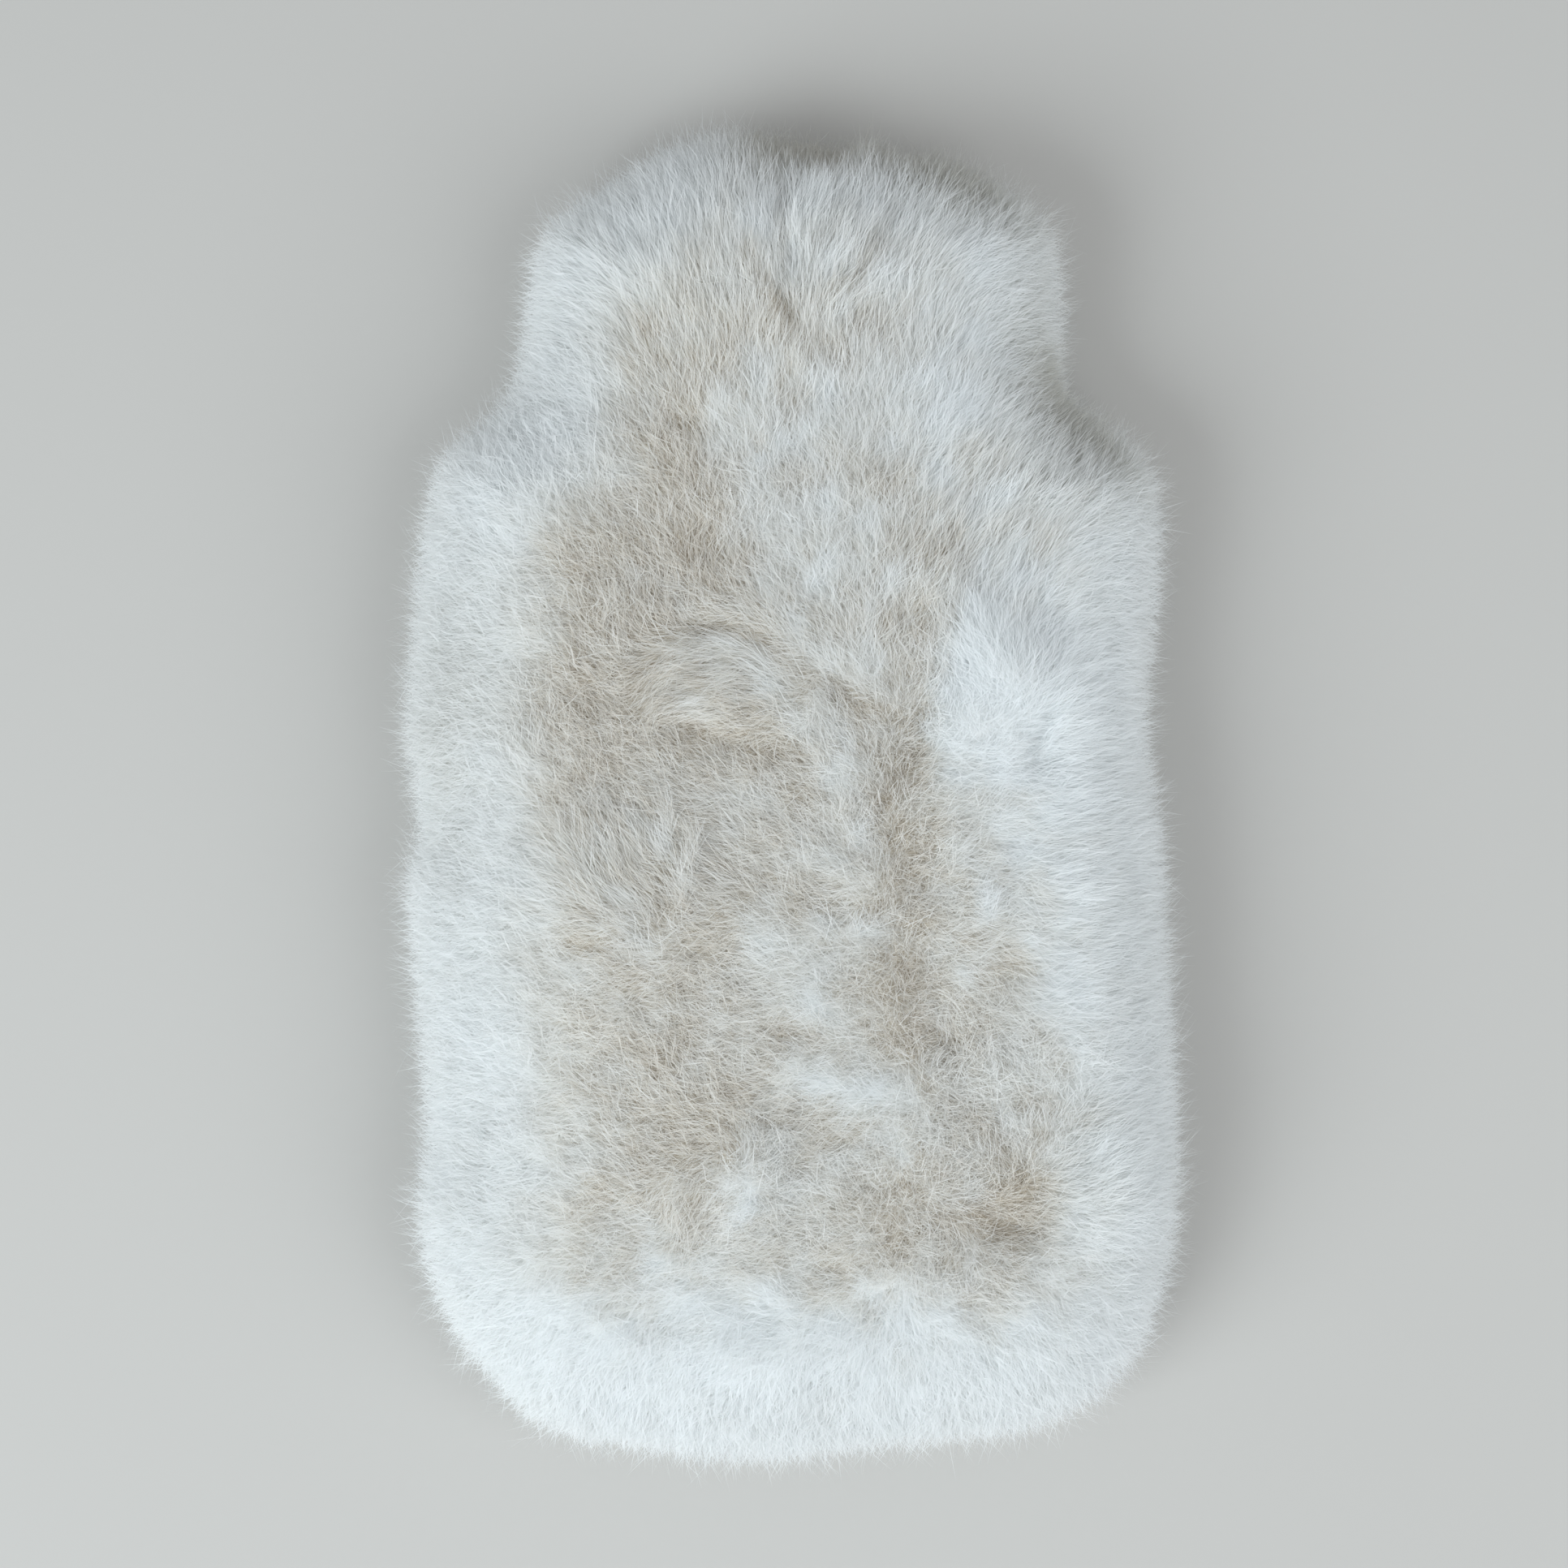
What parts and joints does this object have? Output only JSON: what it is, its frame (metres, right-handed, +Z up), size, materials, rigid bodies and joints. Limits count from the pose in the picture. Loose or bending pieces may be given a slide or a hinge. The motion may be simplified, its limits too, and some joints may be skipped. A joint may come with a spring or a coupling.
{
  "type": "hot water bottle cover",
  "caption": "Plush sheepskin cover for a hot water bottle: a flat bottle-shaped pouch with long pile and a slit in its back.",
  "frame": {"origin": "centre of the footprint, on the surface that the back rests on", "axes": "+Z up out of the front, +Y along the length towards the head, +X to the right seen from above"},
  "size_m": [0.2324, 0.3928, 0.0563],
  "materials": {
    "front_fleece": "long fine sheepskin pile, creamy white",
    "back_fleece": "sheepskin pile pressed flat, cream",
    "rim_fleece": "loose locks of sheepskin pile, white at the tips"
  },
  "bodies": {
    "root": {"front_panel": "front_fleece", "back_panel": "back_fleece", "rim_pile": "rim_fleece"}
  },
  "joints": []
}
